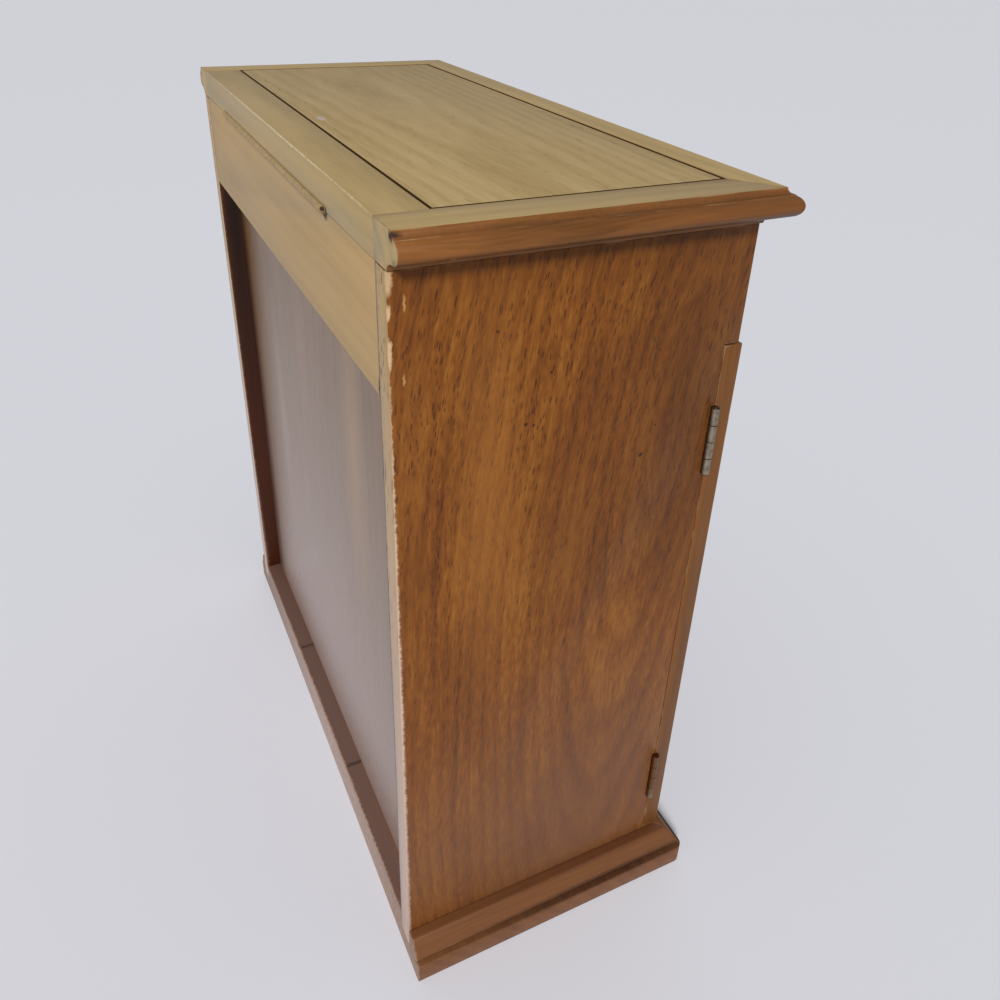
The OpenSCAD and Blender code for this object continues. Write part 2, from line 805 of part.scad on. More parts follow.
base_board();
plinth_front();
plinth_left();
plinth_right();
side_panel_left();
side_panel_right();
case_floor();
back_panel();
back_rail();
front_fascia();
tray_floor();
bay_divider();
drawer_shelves();
hook_rail();
necklace_hooks();
bay_lining();
tray_lining();
tray_partitions();
back_staples();
drawer_front_1();
drawer_front_2();
drawer_front_3();
drawer_front_4();
drawer_box_1();
drawer_box_2();
drawer_box_3();
drawer_box_4();
drawer_linings();
drawer_knobs();
catch_body();
catch_magnets();
hinge_leaf_case();
hinge_pin_lid();
butt_leaves_case();
butt_pins();
case_screws();
lid_border_left();
lid_border_right();
lid_border_front();
lid_border_rear();
lid_core();
lid_veneer();
lid_stringing();
hinge_leaf_lid();
lid_screws();
mirror_glass();
mirror_frame();
door_left_stiles();
door_left_rails();
door_left_panel();
door_left_knob();
door_left_leaves();
door_left_fittings();
door_right_stiles();
door_right_rails();
door_right_panel();
door_right_knob();
door_right_leaves();
door_right_fittings();
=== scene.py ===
import json
import math

import bpy
from mathutils import Matrix, Vector


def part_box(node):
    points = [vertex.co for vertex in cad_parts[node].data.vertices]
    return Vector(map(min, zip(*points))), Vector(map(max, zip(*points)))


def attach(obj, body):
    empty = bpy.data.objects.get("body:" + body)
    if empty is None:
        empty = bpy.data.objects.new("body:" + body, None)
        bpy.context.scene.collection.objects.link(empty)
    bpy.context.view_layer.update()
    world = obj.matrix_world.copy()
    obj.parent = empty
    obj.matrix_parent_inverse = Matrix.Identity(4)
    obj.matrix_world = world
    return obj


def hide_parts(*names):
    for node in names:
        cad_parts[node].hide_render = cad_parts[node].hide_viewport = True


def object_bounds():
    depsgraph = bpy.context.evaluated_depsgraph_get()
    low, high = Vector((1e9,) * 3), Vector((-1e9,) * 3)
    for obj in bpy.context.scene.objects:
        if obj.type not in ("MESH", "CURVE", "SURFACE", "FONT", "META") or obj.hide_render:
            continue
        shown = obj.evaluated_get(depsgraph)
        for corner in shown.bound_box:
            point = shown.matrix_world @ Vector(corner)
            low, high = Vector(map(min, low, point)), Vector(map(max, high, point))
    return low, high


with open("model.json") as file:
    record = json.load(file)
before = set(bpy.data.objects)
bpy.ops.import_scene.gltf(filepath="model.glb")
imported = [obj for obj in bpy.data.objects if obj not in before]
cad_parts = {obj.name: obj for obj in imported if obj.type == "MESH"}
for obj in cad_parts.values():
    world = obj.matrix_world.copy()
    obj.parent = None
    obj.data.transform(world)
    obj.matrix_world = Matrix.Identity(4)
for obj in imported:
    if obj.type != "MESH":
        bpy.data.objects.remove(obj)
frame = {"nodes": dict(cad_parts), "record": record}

bl_info = {
    "name": "Tabletop Chest",
    "version": (1, 0, 0),
    "blender": (4, 5, 0),
    "location": "View3D > Sidebar > Chest",
    "description": "Dresses a small two-door chest in stained wood, felt, brass and nickel",
    "category": "Object",
}

MM = 0.001
CAD_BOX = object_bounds()
# Where the faces of the right side panel lie, in millimetres. The left one mirrors it.
INNER_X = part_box("side_panel_right")[0].x / MM
FACE_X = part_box("side_panel_right")[1].x / MM
REAR_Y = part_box("side_panel_right")[1].y / MM
# The body of every CAD node.
BODIES = {
    node: body
    for body, nodes in frame["record"]["behaviour"]["bodies"].items()
    for node in nodes
}


def linear(code):
    """Linear red, green and blue of an sRGB hex colour such as #7C4C22."""
    channels = [int(code[i : i + 2], 16) / 255 for i in (1, 3, 5)]
    return tuple(c / 12.92 if c <= 0.04045 else ((c + 0.055) / 1.055) ** 2.4 for c in channels)


def colour(name, description, code):
    """A colour that the user can change, from its sRGB hex value."""
    return bpy.props.FloatVectorProperty(
        name=name, description=description, default=linear(code), subtype="COLOR", min=0, max=1
    )


def length(name, description, mm, low, high):
    """A length that the user can change, its default and limits in millimetres."""
    return bpy.props.FloatProperty(
        name=name,
        description=description,
        default=mm * MM,
        min=low * MM,
        max=high * MM,
        unit="LENGTH",
        precision=5,
    )


class ChestSizes(bpy.types.PropertyGroup):
    """Sizes of the chest's finish"""

    board_ease: length("Board arris", "Rounding of the arrises of the case boards", 0.5, 0.1, 1.5)
    frame_ease: length("Frame arris", "Rounding of the door frames and drawer fronts", 0.8, 0.1, 2)
    fine_ease: length("Fine arris", "Rounding of thin boards and mouldings", 0.3, 0.1, 1)
    felt: length("Felt", "Thickness of the felt linings", 0.8, 0.3, 1)
    felt_wave: length("Felt wave", "Height of the slight waves in the glued felt", 0.25, 0, 0.5)
    ring: length("Growth ring", "Distance between growth rings in the veneer", 5, 1, 15)
    pore: length("Pore", "Length of the open pores of the oak", 8, 1, 15)


class ChestColours(bpy.types.PropertyGroup):
    """Colours of the chest's woods, felt and fittings"""

    oak_dark: colour("Oak, dark", "Stain in the open grain of the side veneer", "#51290B")
    oak: colour("Oak", "Side veneer between the pores", "#794614")
    oak_light: colour("Oak, light", "Bright streaks of the side veneer", "#966124")
    lid_dark: colour("Lid, dark", "Early wood of the lid veneer", "#937B50")
    lid: colour("Lid", "Lid veneer", "#A99265")
    lid_light: colour("Lid, light", "Late wood of the lid veneer", "#B9A379")
    border: colour("Moulding", "Solid wood of the mouldings", "#7E5026")
    plinth: colour("Plinth", "Darker wood of the plinth", "#70482A")
    rail: colour("Back rail", "Plain pale wood of the rear rail", "#B09366")
    ply: colour("Back panel", "Thin veneered back panel", "#735434")
    raw: colour("Bare wood", "Unstained wood of drawer boxes and of chips", "#D2B48A")
    felt: colour("Felt", "Wool felt of the linings", "#5E1822")
    nickel: colour("Nickel", "Plated door hinges", "#9C917F")
    tan: colour("Painted steel", "Tan finish of the lid hinge", "#A58C64")
    brass: colour("Brass", "Knobs and hooks", "#C49A45")


def add_node(tree, kind, inputs=None, **settings):
    """Adds one node with its settings, and fills or links its inputs."""
    node = tree.nodes.new(kind)
    for key, value in settings.items():
        setattr(node, key, value)
    for key, value in (inputs or {}).items():
        if isinstance(value, bpy.types.NodeSocket):
            tree.links.new(value, node.inputs[key])
        else:
            node.inputs[key].default_value = value
    return node


def new_material(name):
    """An empty material with its shader and output joined, and its Object coordinates."""
    material = bpy.data.materials.new(name)
    material.use_nodes = True
    tree = material.node_tree
    tree.nodes.clear()
    shader = add_node(tree, "ShaderNodeBsdfPrincipled")
    add_node(tree, "ShaderNodeOutputMaterial", {"Surface": shader.outputs["BSDF"]})
    coords = add_node(tree, "ShaderNodeTexCoord").outputs["Object"]
    return material, tree, shader, coords


def rgba(tone):
    """An opaque colour for a socket."""
    return (*tone, 1)


def cells(size):
    """Whole cells in a metre of a pattern whose cells have this size in millimetres."""
    return round(1 / (size * MM))


def set_ramp(node, stops):
    """Sets the stops of a Color Ramp from (position, tone) pairs."""
    ramp = node.color_ramp
    while len(ramp.elements) < len(stops):
        ramp.elements.new(1)
    for element, (position, tone) in zip(ramp.elements, stops):
        element.position = position
        element.color = rgba(tone)
    return node


# Turns that bring each axis of the chest to Z, along which the grain is drawn.
GRAIN_TURN = {
    "Z": Matrix(((0, 1, 0), (-1, 0, 0), (0, 0, 1))),
    "X": Matrix(((0, 1, 0), (0, 0, 1), (1, 0, 0))),
    "Y": Matrix(((0, 0, 1), (1, 0, 0), (0, 1, 0))),
}

# How far the rim of a mark strays, and the size of its teeth, in millimetres.
RAGGED = 1.6
RAGGED_TOOTH = 1.429
# Distances from a mark's middle, in half sizes: where it ends, and where it is full.
MARK_END = 1.1
MARK_FULL = 0.6
STAIN_FULL = 0.1


def add_marks(tree, coords, base, marks):
    """Local marks: each has a place and half sizes in millimetres, and a tone.

    Their rims are ragged. A fourth number makes a soft stain of that strength instead.
    """
    teeth = add_node(
        tree, "ShaderNodeTexNoise", {"Vector": coords, "Scale": cells(RAGGED_TOOTH), "Detail": 3}
    ).outputs["Color"]
    ragged = add_node(
        tree,
        "ShaderNodeVectorMath",
        {0: teeth, 1: (RAGGED * MM,) * 3, 2: coords},
        operation="MULTIPLY_ADD",
    ).outputs[0]
    for place, half, tone, *soft in marks:
        offset = add_node(
            tree,
            "ShaderNodeVectorMath",
            {0: ragged, 1: tuple((c + RAGGED / 2) * MM for c in place)},
            operation="SUBTRACT",
        ).outputs[0]
        scaled = add_node(
            tree,
            "ShaderNodeVectorMath",
            {0: offset, 1: tuple(1 / (h * MM) for h in half)},
            operation="MULTIPLY",
        ).outputs[0]
        away = add_node(
            tree, "ShaderNodeVectorMath", {0: scaled}, operation="LENGTH"
        ).outputs["Value"]
        full = STAIN_FULL if soft else MARK_FULL
        strength = soft[0] if soft else 1
        inside = add_node(
            tree,
            "ShaderNodeMapRange",
            {"Value": away, "From Min": MARK_END, "From Max": full, "To Max": strength},
        ).outputs["Result"]
        base = add_node(
            tree,
            "ShaderNodeMix",
            {"Factor": inside, "A": base, "B": rgba(tone)},
            data_type="RGBA",
        ).outputs["Result"]
    return base


def shades(tone, dark=0.6, light=1.3):
    """A dark, a middle and a light tone of one stain."""
    return tuple(tuple(min(1, k * c) for c in tone) for k in (dark, 1, light))


# Patterns in the wood, from the size of their cells across, across and along the grain.
WANDER = (cells(41.7), cells(41.7), cells(111))
STREAKS = (cells(13.3), cells(13.3), cells(111))
# Real fibres are too fine to show. These are drawn 0.9 mm wide.
FIBRES = (cells(0.909), cells(0.909), cells(18.2))
# How far the grain wanders, in growth rings.
WANDER_REACH = 1.4

# From open early wood to dense late wood: places in one growth ring, and how light they are.
RING_TONES = ((0, 0.3), (0.15, 0), (0.5, 0.75), (0.85, 1), (1, 0.3))

# How much of the range from the dark to the light tone each pattern takes at full strength.
RING_SHARE = 0.35
STREAK_SHARE = 2.2
FIBRE_SHARE = 1.6
# What the rings add on average, which is taken off again.
RING_MEAN = 0.2
# Where the dark, the middle and the light tone lie in that range.
TONE_STOPS = (0.12, 0.5, 0.88)


def grain_space(tree, coords, along, heart, lean, sweep):
    """Coordinates with Z along the grain, measured from the heart of the tree."""
    tip = Matrix.Rotation(math.radians(lean[0]), 3, "X")
    roll = Matrix.Rotation(math.radians(lean[1]), 3, "Y")
    turn = tip @ roll @ GRAIN_TURN[along]
    grain = add_node(
        tree,
        "ShaderNodeMapping",
        {
            "Vector": coords,
            "Location": -(turn @ Vector(heart)),
            "Rotation": turn.to_euler(),
        },
    ).outputs["Vector"]
    if not sweep:
        return grain
    x, y, z = add_node(tree, "ShaderNodeSeparateXYZ", {0: grain}).outputs
    square = add_node(tree, "ShaderNodeMath", {0: z, 1: z}, operation="MULTIPLY").outputs[0]
    bent = add_node(
        tree, "ShaderNodeMath", {0: square, 1: sweep, 2: x}, operation="MULTIPLY_ADD"
    ).outputs[0]
    return add_node(tree, "ShaderNodeCombineXYZ", {"X": bent, "Y": y, "Z": z}).outputs[0]


def wandering(tree, grain, ring):
    """The grain's coordinates, which wander a few millimetres from straight."""
    slow = add_node(
        tree, "ShaderNodeVectorMath", {0: grain, 1: WANDER}, operation="MULTIPLY"
    ).outputs[0]
    drift = add_node(
        tree, "ShaderNodeTexNoise", {"Vector": slow, "Scale": 1, "Detail": 2}
    ).outputs["Color"]
    centred = add_node(
        tree, "ShaderNodeVectorMath", {0: drift, 1: (0.5, 0.5, 0.5)}, operation="SUBTRACT"
    ).outputs[0]
    reach = WANDER_REACH * ring * MM
    return add_node(
        tree,
        "ShaderNodeVectorMath",
        {0: centred, 1: (reach, reach, 0), 2: grain},
        operation="MULTIPLY_ADD",
    ).outputs[0]


def growth_rings(tree, swing, ring):
    """Growth rings: open early wood at the start of each, dense late wood after it."""
    flat = add_node(
        tree, "ShaderNodeVectorMath", {0: swing, 1: (1, 1, 0)}, operation="MULTIPLY"
    ).outputs[0]
    radius = add_node(
        tree, "ShaderNodeVectorMath", {0: flat}, operation="LENGTH"
    ).outputs["Value"]
    turns = add_node(
        tree, "ShaderNodeMath", {0: radius, 1: 1 / (ring * MM)}, operation="MULTIPLY"
    ).outputs[0]
    phase = add_node(tree, "ShaderNodeMath", {0: turns}, operation="FRACT").outputs[0]
    return set_ramp(
        add_node(tree, "ShaderNodeValToRGB", {"Fac": phase}),
        [(place, (light,) * 3) for place, light in RING_TONES],
    ).outputs["Color"]


# The painted sheen begins and is full at these depths under the top, in millimetres, and where a
# face looks this squarely up or back, as the cosine of its slope.
SHEEN_DEPTHS = (0.8, 0.3)
SHEEN_FACING = (0.93, 0.98)


def paint_sheen(tree, coords, base, level, faded):
    """Painted sheen: the flat faces that look up or back take a paler tone."""
    sheen_tone = set_ramp(
        add_node(tree, "ShaderNodeValToRGB", {"Fac": level}),
        list(zip(TONE_STOPS, shades(faded, 0.86, 1.12))),
    ).outputs["Color"]
    facing = add_node(tree, "ShaderNodeTexCoord").outputs["Normal"]
    normal = add_node(tree, "ShaderNodeSeparateXYZ", {0: facing})
    height = add_node(tree, "ShaderNodeSeparateXYZ", {0: coords}).outputs["Z"]
    # Only the very top counts as looking up, and not the hollow of the moulding.
    begins, full = (CAD_BOX[1][2] - depth * MM for depth in SHEEN_DEPTHS)
    at_top = add_node(
        tree, "ShaderNodeMapRange", {"Value": height, "From Min": begins, "From Max": full}
    ).outputs["Result"]
    up = add_node(
        tree, "ShaderNodeMath", {0: normal.outputs["Z"], 1: at_top}, operation="MULTIPLY"
    ).outputs[0]
    most = add_node(
        tree, "ShaderNodeMath", {0: normal.outputs["Y"], 1: up}, operation="MAXIMUM"
    ).outputs[0]
    begins, full = SHEEN_FACING
    open_face = add_node(
        tree, "ShaderNodeMapRange", {"Value": most, "From Min": begins, "From Max": full}
    ).outputs["Result"]
    return add_node(
        tree,
        "ShaderNodeMix",
        {"Factor": open_face, "A": base, "B": sheen_tone},
        data_type="RGBA",
    ).outputs["Result"]


# A pore fills this much of its cell's width and length, and darkens the wood this much.
PORE_FILL = (0.5, 0.4)
PORE_DEPTH = 0.85
# In cells: its least half width in early wood, how late wood changes that, what chance adds
# to it at most, and the width of its soft rim.
PORE_LEAST = 0.12
PORE_LATE = -0.15
PORE_CHANCE = 0.4
PORE_RIM = 0.18
# Between these heights the lacquer fills more and more of the pores towards the foot.
FILLED_BELOW = 60 * MM
FILLED_ABOVE = 240 * MM


def pore_dashes(tree, coords, swing, rings, pore, pores, left_open):
    """Open pores: short dashes of uneven length, most of them in the early wood."""
    across = PORE_FILL[0] / (pore[0] * MM)
    along = PORE_FILL[1] / (pore[1] * MM)
    dash_space = add_node(
        tree, "ShaderNodeVectorMath", {0: swing, 1: (across, across, along)}, operation="MULTIPLY"
    ).outputs[0]
    dash = add_node(tree, "ShaderNodeTexVoronoi", {"Vector": dash_space, "Scale": 1})
    uneven = add_node(tree, "ShaderNodeSeparateColor", {0: dash.outputs["Color"]}).outputs["Red"]
    open_wood = add_node(
        tree,
        "ShaderNodeMath",
        {0: rings, 1: PORE_LATE, 2: PORE_LEAST},
        operation="MULTIPLY_ADD",
    ).outputs[0]
    limit = add_node(
        tree,
        "ShaderNodeMath",
        {0: uneven, 1: PORE_CHANCE, 2: open_wood},
        operation="MULTIPLY_ADD",
    ).outputs[0]
    height = add_node(tree, "ShaderNodeSeparateXYZ", {0: coords}).outputs["Z"]
    share = add_node(
        tree,
        "ShaderNodeMapRange",
        {
            "Value": height,
            "From Min": FILLED_BELOW,
            "From Max": FILLED_ABOVE,
            "To Min": left_open * pores,
            "To Max": pores,
        },
    ).outputs["Result"]
    rim = add_node(tree, "ShaderNodeMath", {0: limit, 1: share}, operation="MULTIPLY").outputs[0]
    inner = add_node(
        tree, "ShaderNodeMath", {0: rim, 1: PORE_RIM}, operation="SUBTRACT"
    ).outputs[0]
    return add_node(
        tree,
        "ShaderNodeMapRange",
        {
            "Value": dash.outputs["Distance"],
            "From Min": rim,
            "From Max": inner,
            "To Max": PORE_DEPTH,
        },
    ).outputs["Result"]


# Arrises are rubbed over this width, in patches of this size, both in millimetres.
RUBBED = 0.9
RUB_PATCH = 11.1
# Cosines between a face and its rounded self: where an arris begins, and where it is full.
ARRIS_BEGINS = 0.98
ARRIS_FULL = 0.8
# Levels of the patches: where they begin without wear, how far wear lowers that, where they
# are full, and how bare the wood is there.
PATCH_BEGINS = 0.64
PATCH_WEAR = 0.3
PATCH_FULL = 0.74
PATCH_BARE = 0.8


def rub_arrises(tree, coords, base, wear):
    """Arrises rubbed through the stain to bare wood, more in some places than in others."""
    bare = bpy.context.scene.chest_colours.raw
    face = add_node(tree, "ShaderNodeNewGeometry").outputs["Normal"]
    rounded = add_node(
        tree, "ShaderNodeBevel", {"Radius": RUBBED * MM}, samples=6
    ).outputs["Normal"]
    same = add_node(
        tree, "ShaderNodeVectorMath", {0: face, 1: rounded}, operation="DOT_PRODUCT"
    ).outputs["Value"]
    patchy = add_node(
        tree, "ShaderNodeTexNoise", {"Vector": coords, "Scale": cells(RUB_PATCH), "Detail": 4}
    ).outputs["Fac"]
    edge = add_node(
        tree,
        "ShaderNodeMapRange",
        {"Value": same, "From Min": ARRIS_BEGINS, "From Max": ARRIS_FULL},
    ).outputs["Result"]
    rub = add_node(
        tree,
        "ShaderNodeMapRange",
        {
            "Value": patchy,
            "From Min": PATCH_BEGINS - PATCH_WEAR * wear,
            "From Max": PATCH_FULL,
            "To Max": PATCH_BARE,
        },
    ).outputs["Result"]
    amount = add_node(tree, "ShaderNodeMath", {0: edge, 1: rub}, operation="MULTIPLY").outputs[0]
    return add_node(
        tree,
        "ShaderNodeMix",
        {"Factor": amount, "A": base, "B": rgba(bare)},
        data_type="RGBA",
    ).outputs["Result"]


# Height of the wood's relief in millimetres, how strongly it shows, and how far the fibres
# stand up against the depth of a pore.
RELIEF = 0.12
RELIEF_STRENGTH = 0.5
FIBRE_RISE = 0.4
# How much smoother the lacquer is between the fibres and how much duller on them, and the
# levels of their noise that count as between and on.
SMOOTHER = -0.05
DULLER = 0.07
FIBRE_LEVELS = (0.2, 0.8)


def stained_wood(
    name,
    tones,
    pore_tone,
    pore,
    along="Z",
    heart=(0, 0, 0),
    lean=(0, 0),
    ring=5.0,
    figure=0.5,
    streak=0.5,
    fibre=0.4,
    pores=0.5,
    left_open=1.0,
    sweep=0.0,
    gloss=0.2,
    roughness=0.42,
    wear=0.5,
    faded=None,
    marks=(),
):
    """Stained and lacquered wood: growth rings round a leaning heart, streaks and open pores.

    Ring and pore, which is a width and a length, are in millimetres. The heart is a point in
    metres that the middle of the tree passes through, along the grain, lean tips it in
    degrees and sweep bends it. Figure, streak and fibre say how strongly each pattern shows.
    Left_open is the share of the pores that the lacquer hasn't filled at the foot of the
    chest. A painted sheen can give the flat faces that look up or back a paler tone, passed in
    just before the marks.
    """
    material, tree, shader, coords = new_material(name)
    grain = grain_space(tree, coords, along, heart, lean, sweep)
    swing = wandering(tree, grain, ring)
    rings = growth_rings(tree, swing, ring)

    # Fibres, and broad streaks of darker and lighter stain.
    fine = add_node(
        tree, "ShaderNodeVectorMath", {0: swing, 1: FIBRES}, operation="MULTIPLY"
    ).outputs[0]
    fibres = add_node(
        tree, "ShaderNodeTexNoise", {"Vector": fine, "Scale": 1, "Detail": 3}
    ).outputs["Fac"]
    broad = add_node(
        tree, "ShaderNodeVectorMath", {0: grain, 1: STREAKS}, operation="MULTIPLY"
    ).outputs[0]
    streaks = add_node(
        tree, "ShaderNodeTexNoise", {"Vector": broad, "Scale": 1, "Detail": 3}
    ).outputs["Fac"]
    middle = 0.5 - RING_MEAN * figure - 0.5 * STREAK_SHARE * streak - 0.5 * FIBRE_SHARE * fibre
    level = add_node(
        tree,
        "ShaderNodeMath",
        {0: rings, 1: RING_SHARE * figure, 2: middle},
        operation="MULTIPLY_ADD",
    ).outputs[0]
    for pattern, share in ((streaks, STREAK_SHARE * streak), (fibres, FIBRE_SHARE * fibre)):
        level = add_node(
            tree, "ShaderNodeMath", {0: pattern, 1: share, 2: level}, operation="MULTIPLY_ADD"
        ).outputs[0]
    base = set_ramp(
        add_node(tree, "ShaderNodeValToRGB", {"Fac": level}), list(zip(TONE_STOPS, tones))
    ).outputs["Color"]

    # A painted sheen on the flat faces that look up or back.
    if faded:
        base = paint_sheen(tree, coords, base, level, faded)
    dashes = pore_dashes(tree, coords, swing, rings, pore, pores, left_open)
    base = add_node(
        tree,
        "ShaderNodeMix",
        {"Factor": dashes, "A": base, "B": rgba(pore_tone)},
        data_type="RGBA",
    ).outputs["Result"]
    if wear:
        base = rub_arrises(tree, coords, base, wear)
    base = add_marks(tree, coords, base, marks)

    # The fibres stand up a little, the pores are sunk, and the lacquer shines unevenly.
    raised = add_node(
        tree, "ShaderNodeMath", {0: fibres, 1: FIBRE_RISE}, operation="MULTIPLY"
    ).outputs[0]
    relief = add_node(
        tree, "ShaderNodeMath", {0: raised, 1: dashes}, operation="SUBTRACT"
    ).outputs[0]
    bump = add_node(
        tree,
        "ShaderNodeBump",
        {"Height": relief, "Strength": RELIEF_STRENGTH, "Distance": RELIEF * MM},
    ).outputs["Normal"]
    dull = add_node(
        tree,
        "ShaderNodeMapRange",
        {
            "Value": fibres,
            "From Min": FIBRE_LEVELS[0],
            "From Max": FIBRE_LEVELS[1],
            "To Min": roughness + SMOOTHER,
            "To Max": roughness + DULLER,
        },
    ).outputs["Result"]
    tree.links.new(base, shader.inputs["Base Color"])
    tree.links.new(bump, shader.inputs["Normal"])
    tree.links.new(dull, shader.inputs["Roughness"])
    shader.inputs["Specular IOR Level"].default_value = gloss
    return material


def side_marks(side, bare):
    """Torn veneer, scratches, pits, uneven stain, painted shade and painted reflection of one side
    panel.
    """
    face, rear = side * FACE_X, REAR_Y
    scratch, pit = linear("#B98A55"), linear("#2E1508")
    torn = [
        # Veneer torn off the rear arris, which is rubbed pale all the way down.
        ((face, rear, 150), (0.55, 0.55, 128), bare),
        ((face, rear, 290), (1.5, 1.7, 4.5), bare),
        ((face, rear, 281.5), (0.8, 1, 2.4), bare),
        ((face, rear, 270), (1, 1.2, 5), bare),
    ]
    knocks = [
        # Pale scratches and small dark pits on the face.
        ((face, 60.5, 283.5), (1, 0.5, 2.6), scratch),
        ((face, 61, 262), (1, 0.45, 2), scratch),
        ((face, 34.3, 271.6), (1, 0.55, 0.6), pit),
        ((face, 24.4, 240.6), (1, 0.8, 0.8), pit),
        ((face, 21.5, 239.8), (1, 0.6, 0.6), pit),
        ((face, 16.9, 256.3), (1, 0.5, 0.6), pit),
        ((face, -18, 220.2), (1, 0.7, 0.8), pit),
        ((face, -22.3, 230.3), (1, 0.5, 0.5), pit),
    ]
    stain = [
        # Darker to the front, painted shade under the lid, warmer in a streak, and greyer at the
        # foot from a painted reflection of the pale floor.
        ((face, -38, 235), (4, 42, 110), linear("#4E2A0C"), 0.55),
        ((face, 5, 292), (4, 90, 12), linear("#4E2A0C"), 0.4),
        ((face, 36, 210), (4, 12, 90), linear("#96602A"), 0.45),
        ((face, 8, 195), (4, 17, 55), linear("#5E3410"), 0.45),
        ((face, 61, 200), (4, 9, 200), linear("#6A3C18"), 0.3),
        ((face, 0, 12), (6, 95, 130), linear("#6E4C38"), 0.7),
        # A painted reflection of the pale floor makes the rear edge paler towards the foot.
        ((side * 122.7, rear, 50), (20, 1.2, 210), linear("#C4ACA0"), 1),
    ]
    inner = side * INNER_X
    recess_shade = [
        # Painted shade darkens the inside of the recess round the back panel, most under the rail.
        ((inner, 60, 140), (1.5, 7, 260), linear("#3E1C0C")),
        ((inner, 60, 262), (1.5, 7, 150), linear("#140802"), 1),
    ]
    return torn + knocks + stain + recess_shade


def side_veneer(side):
    """Oak veneer, ring-porous, stained and lacquered satin: dark dashes on warm streaks."""
    tones = bpy.context.scene.chest_colours
    sizes = bpy.context.scene.chest_sizes
    return stained_wood(
        f"lacquered_oak_veneer_{'left' if side < 0 else 'right'}",
        (tones.oak_dark, tones.oak, tones.oak_light),
        linear("#43220A"),
        pore=(0.34, sizes.pore / MM),
        heart=(side * 0.105, -0.016, 0.09),
        lean=(-9 * side, 2),
        ring=sizes.ring / MM,
        figure=0.45,
        streak=0.35,
        fibre=0.5,
        pores=1.1,
        left_open=0.45,
        sweep=0.3,
        roughness=0.4,
        wear=0.35,
        # A painted sheen in the rail's tone on the rear edges.
        faded=tones.rail,
        marks=side_marks(side, tones.raw),
    )


def lid_veneer():
    """Fine oak veneer with the grain along the lid: its worn lacquer is pale and satin."""
    tones = bpy.context.scene.chest_colours
    rubbed_spot = ((0, 44.8, 304), (4.5, 1.6, 1), linear("#B5A39A"))
    return stained_wood(
        "worn_oak_veneer",
        (tones.lid_dark, tones.lid, tones.lid_light),
        linear("#705434"),
        pore=(0.3, 5),
        along="X",
        heart=(0, 0.012, 0.27),
        lean=(2, 0),
        ring=4,
        figure=0.5,
        streak=0.3,
        fibre=0.35,
        pores=0.6,
        roughness=0.45,
        wear=0,
        marks=[rubbed_spot],
    )


# The heart of these trees lies far outside the boards, so that the rings run straight.
FAR_HEART = (0.4, 0.3, -0.25)


def solid_wood(name, tone, along, roughness=0.42, wear=0.5, pores=0.3, figure=0.5, **more):
    """Planed solid hardwood: fine straight grain with few pores, its tones close together."""
    return stained_wood(
        name,
        shades(tone),
        tuple(0.4 * c for c in tone),
        pore=(0.3, 3),
        along=along,
        heart=FAR_HEART,
        ring=6,
        figure=figure,
        streak=0.4 * figure + 0.1,
        fibre=0.4 * figure + 0.1,
        pores=pores,
        roughness=roughness,
        wear=wear,
        **more,
    )


def wool_felt():
    """Pressed wool felt, matt, with short loose fibres that catch the light at a low angle."""
    tones = bpy.context.scene.chest_colours
    material, tree, shader, coords = new_material("pressed_wool_felt")
    # Single fibres are too fine to show, so they are drawn in tufts of about a millimetre.
    fuzz = add_node(
        tree, "ShaderNodeTexNoise", {"Vector": coords, "Scale": cells(1.111), "Detail": 4}
    ).outputs["Fac"]
    shade = set_ramp(
        add_node(tree, "ShaderNodeValToRGB", {"Fac": fuzz}),
        [(0.3, tuple(0.6 * c for c in tones.felt)), (0.7, tuple(1.5 * c for c in tones.felt))],
    ).outputs["Color"]
    bump = add_node(
        tree, "ShaderNodeBump", {"Height": fuzz, "Strength": 0.6, "Distance": 0.3 * MM}
    ).outputs["Normal"]
    tree.links.new(shade, shader.inputs["Base Color"])
    tree.links.new(bump, shader.inputs["Normal"])
    shader.inputs["Roughness"].default_value = 0.95
    shader.inputs["Sheen Weight"].default_value = 0.4
    shader.inputs["Sheen Roughness"].default_value = 0.5
    return material


# Levels of the noise that makes spots: where one is darkest and where it ends, where one is
# dullest and where the rest shines. Then how much duller a spot is.
SPOT_DARK = 0.35
SPOT_END = 0.6
SPOT_DULL = 0.3
SPOT_BRIGHT = 0.7
SPOT_DULLER = 0.15


def smooth_finish(name, tone, roughness, spots, spot_size, metallic=1.0, marks=()):
    """Metal, paint, plastic or glass: one tone, with spots that are darker and duller.

    Spots is how light the darkest of them are, and their size is in millimetres.
    """
    material, tree, shader, coords = new_material(name)
    tarnish = add_node(
        tree, "ShaderNodeTexNoise", {"Vector": coords, "Scale": cells(spot_size), "Detail": 4}
    ).outputs["Fac"]
    shade = set_ramp(
        add_node(tree, "ShaderNodeValToRGB", {"Fac": tarnish}),
        [(SPOT_DARK, tuple(spots * c for c in tone)), (SPOT_END, tone)],
    ).outputs["Color"]
    shade = add_marks(tree, coords, shade, marks)
    dull = add_node(
        tree,
        "ShaderNodeMapRange",
        {
            "Value": tarnish,
            "From Min": SPOT_DULL,
            "From Max": SPOT_BRIGHT,
            "To Min": roughness + SPOT_DULLER,
            "To Max": roughness,
        },
    ).outputs["Result"]
    tree.links.new(shade, shader.inputs["Base Color"])
    tree.links.new(dull, shader.inputs["Roughness"])
    shader.inputs["Metallic"].default_value = metallic
    return material


def select_only(obj):
    """Selects one object and makes it the active one."""
    bpy.ops.object.select_all(action="DESELECT")
    obj.select_set(True)
    bpy.context.view_layer.objects.active = obj


